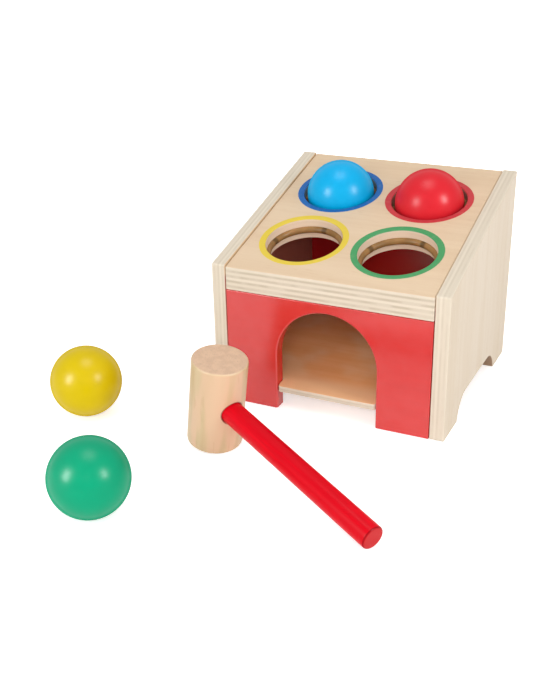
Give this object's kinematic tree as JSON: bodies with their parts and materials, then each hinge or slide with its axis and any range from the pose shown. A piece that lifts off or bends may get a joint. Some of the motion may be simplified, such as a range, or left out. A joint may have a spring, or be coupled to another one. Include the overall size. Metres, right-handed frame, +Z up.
{
  "type": "pounding cube",
  "caption": "Wooden pounding toy: a box whose sloping top has ball holes with elastic rings, painted balls that are knocked through and roll out of an arch, and a mallet.",
  "frame": {"origin": "on the floor, at the centre of the footprint of the whole set (box, loose balls and hammer)", "axes": "+Z up; the box's front with the arch faces -Y; +X is to the right seen from the front"},
  "size_m": [0.2443, 0.3152, 0.1389],
  "materials": {
    "side_wood": "pale plywood, clear satin lacquer",
    "board_wood": "pale plywood, clear satin lacquer",
    "floor_wood": "bare thin plywood",
    "head_wood": "turned hardwood, clear lacquer",
    "dowel_wood": "bare hardwood",
    "panel_red": "coral red paint, satin",
    "handle_red": "red gloss lacquer",
    "ring_amber": "translucent amber elastomer",
    "ball_yellow": "yellow gloss lacquer",
    "ball_green": "green gloss lacquer",
    "ball_blue": "blue gloss lacquer",
    "ball_red": "red gloss lacquer"
  },
  "bodies": {
    "box": {"left_side_panel": "side_wood", "right_side_panel": "side_wood", "top_board": "board_wood", "front_panel": "panel_red", "back_panel": "panel_red", "floor_panel": "floor_wood", "yellow_ring": "ring_amber", "green_ring": "ring_amber", "blue_ring": "ring_amber", "red_ring": "ring_amber", "dowel_left_board_1": "dowel_wood", "dowel_left_board_2": "dowel_wood", "dowel_left_board_3": "dowel_wood", "dowel_left_front_1": "dowel_wood", "dowel_left_front_2": "dowel_wood", "dowel_left_back_1": "dowel_wood", "dowel_left_back_2": "dowel_wood", "dowel_right_board_1": "dowel_wood", "dowel_right_board_2": "dowel_wood", "dowel_right_board_3": "dowel_wood", "dowel_right_front_1": "dowel_wood", "dowel_right_front_2": "dowel_wood", "dowel_right_back_1": "dowel_wood", "dowel_right_back_2": "dowel_wood"},
    "yellow_ball": {"yellow_ball": "ball_yellow"},
    "green_ball": {"green_ball": "ball_green"},
    "blue_ball": {"blue_ball": "ball_blue"},
    "red_ball": {"red_ball": "ball_red"},
    "hammer": {"hammer_head": "head_wood", "hammer_handle": "handle_red"}
  },
  "joints": [
    {"name": "blue_ball_through", "type": "slide", "parent": "box", "child": "blue_ball", "axis": [0, -0.2681, 0.9634], "range_m": [-0.0345, 0.05], "deforming": ["blue_ring"]},
    {"name": "red_ball_through", "type": "slide", "parent": "box", "child": "red_ball", "axis": [0, -0.2681, 0.9634], "range_m": [-0.0345, 0.05], "deforming": ["red_ring"]},
    {"name": "yellow_ball_roll", "type": "slide", "parent": "box", "child": "yellow_ball", "axis": [0, -1, 0], "range_m": [0, 0.15]},
    {"name": "green_ball_roll", "type": "slide", "parent": "box", "child": "green_ball", "axis": [0, -1, 0], "range_m": [0, 0.15]},
    {"name": "hammer_lift", "type": "slide", "parent": "box", "child": "hammer", "axis": [0, 0, 1], "range_m": [0, 0.2]}
  ]
}
